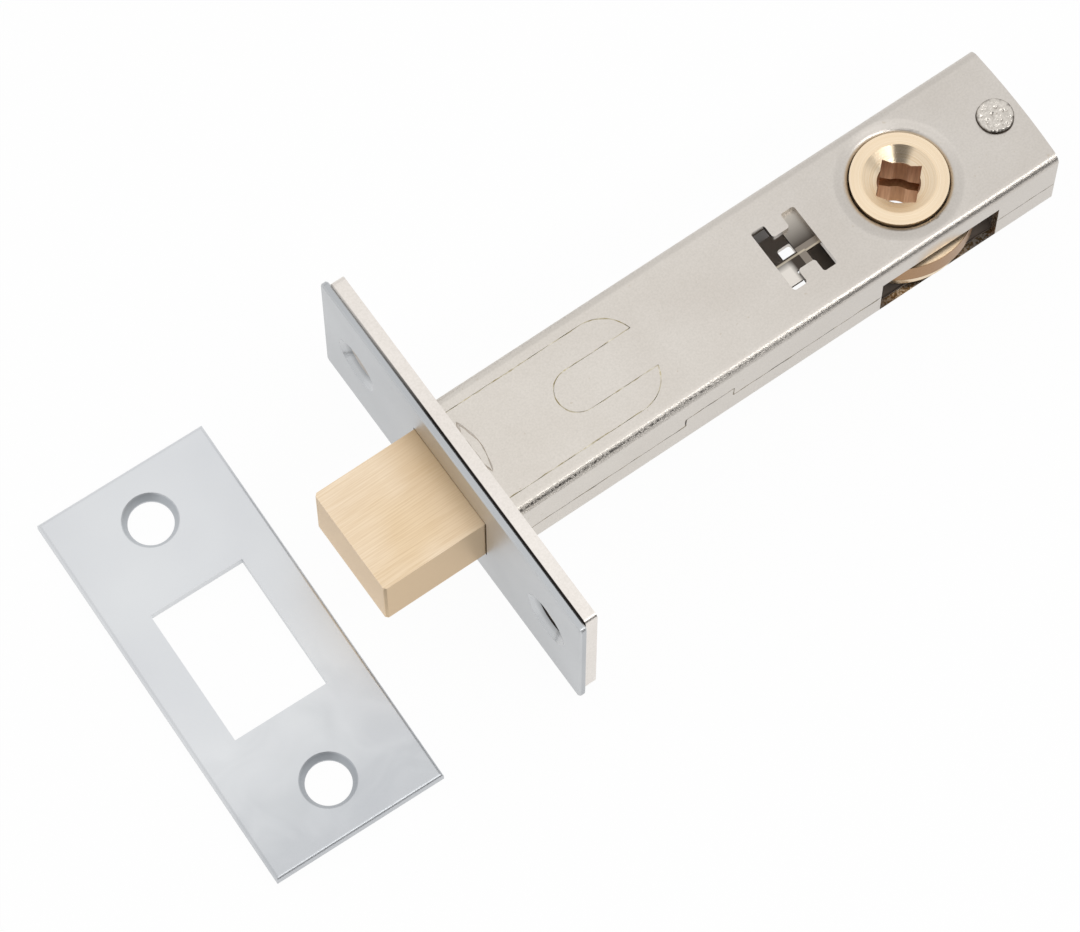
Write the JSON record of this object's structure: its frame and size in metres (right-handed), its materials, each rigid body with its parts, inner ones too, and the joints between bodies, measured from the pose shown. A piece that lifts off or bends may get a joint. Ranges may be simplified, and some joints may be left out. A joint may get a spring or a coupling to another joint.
{
  "type": "privacy bolt",
  "caption": "Tubular privacy bolt for a door: a turned hub throws a square brass bolt through a face plate, with a flat strike plate lying in front.",
  "frame": {"origin": "centre of the face plate's outer face, on the bolt's centre line", "axes": "+X the way the bolt is thrown, +Y along the face plate, +Z along the hub's spindle"},
  "size_m": [0.134, 0.0587, 0.025],
  "materials": {
    "satin_chrome": "satin chrome plate",
    "nickel_steel": "satin nickel plate",
    "bolt_brass": "brushed",
    "hub_brass": "turned",
    "tail_steel": "plain",
    "pin_steel": "plain"
  },
  "bodies": {
    "case": {"face_plate": "satin_chrome", "forend_plate": "nickel_steel", "upper_forend_arm": "nickel_steel", "lower_forend_arm": "nickel_steel", "upper_case_shell": "nickel_steel", "lower_case_shell": "nickel_steel", "rear_rivet": "nickel_steel", "rear_spacer": "pin_steel", "friction_spring": "tail_steel", "strike_plate": "satin_chrome"},
    "hub": {"upper_hub_half": "hub_brass", "lower_hub_half": "hub_brass", "hub_rivet_1": "pin_steel", "hub_rivet_2": "pin_steel"},
    "bolt": {"bolt_head": "bolt_brass", "bolt_tail": "tail_steel", "front_tail_pin": "pin_steel", "rear_tail_pin": "pin_steel", "drive_pin": "pin_steel"}
  },
  "joints": [
    {"name": "hub_turn", "type": "hinge", "parent": "case", "child": "hub", "pos_m": [-0.07, 0, 0], "axis": [0, 0, -1], "range_deg": [0, 90]},
    {"name": "bolt_slide", "type": "slide", "parent": "case", "child": "bolt", "axis": [-1, 0, 0], "range_m": [0, 0.014]}
  ],
  "couplings": [
    {"joint": "hub_turn", "follows": "bolt_slide", "rad_per_m": 112.19}
  ]
}
